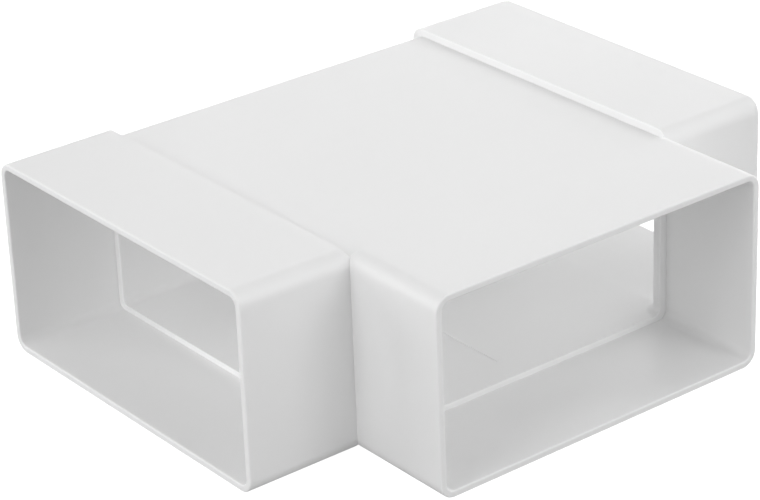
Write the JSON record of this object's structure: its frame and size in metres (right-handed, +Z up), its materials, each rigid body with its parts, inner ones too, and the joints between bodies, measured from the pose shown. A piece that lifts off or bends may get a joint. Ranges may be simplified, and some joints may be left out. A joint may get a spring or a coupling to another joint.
{
  "type": "flat duct tee fitting",
  "caption": "Hollow moulded tee for flat rectangular duct: equal open sockets at both ends of a straight run and on a side branch, round a slightly slimmer body.",
  "frame": {"origin": "middle of the part's plan, in the plane of the sockets' flat undersides", "axes": "+X along the straight run, -Y out of the branch, +Z up out of the wide face"},
  "size_m": [0.2014, 0.163, 0.0644],
  "materials": {
    "pvc": "satin, smooth moulded"
  },
  "bodies": {
    "root": {"tee": "pvc"}
  },
  "joints": []
}
